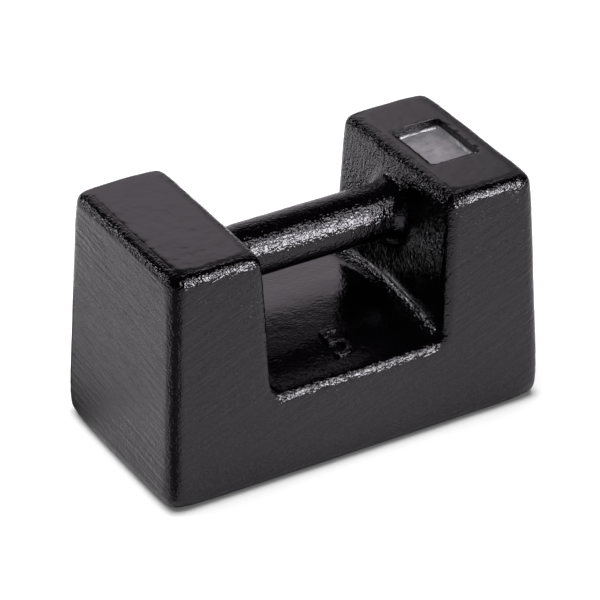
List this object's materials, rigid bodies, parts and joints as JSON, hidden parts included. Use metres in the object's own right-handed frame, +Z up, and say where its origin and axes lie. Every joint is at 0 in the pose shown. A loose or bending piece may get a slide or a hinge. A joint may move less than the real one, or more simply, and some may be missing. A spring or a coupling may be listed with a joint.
{
  "type": "calibration weight",
  "caption": "Block-shaped cast iron test weight with two uprights, a round grip bar across the hand gap, and a sealed adjusting cavity in one upright.",
  "frame": {"origin": "centre of the flat base, on the surface that the weight stands on", "axes": "+X along the grip bar towards the upright with the seal, +Y across the weight, +Z up"},
  "size_m": [0.1492, 0.077, 0.0896],
  "materials": {
    "black_lacquer": "gloss black lacquer over sand-cast iron",
    "mild_steel": "bare sheet steel, sealed in",
    "lead": "hammered lead, dull grey",
    "lead_shot": "dull lead pellets"
  },
  "bodies": {
    "root": {"cast_body": "black_lacquer", "cover_plate": "mild_steel", "lead_seal": "lead", "adjusting_shot": "lead_shot"}
  },
  "joints": []
}
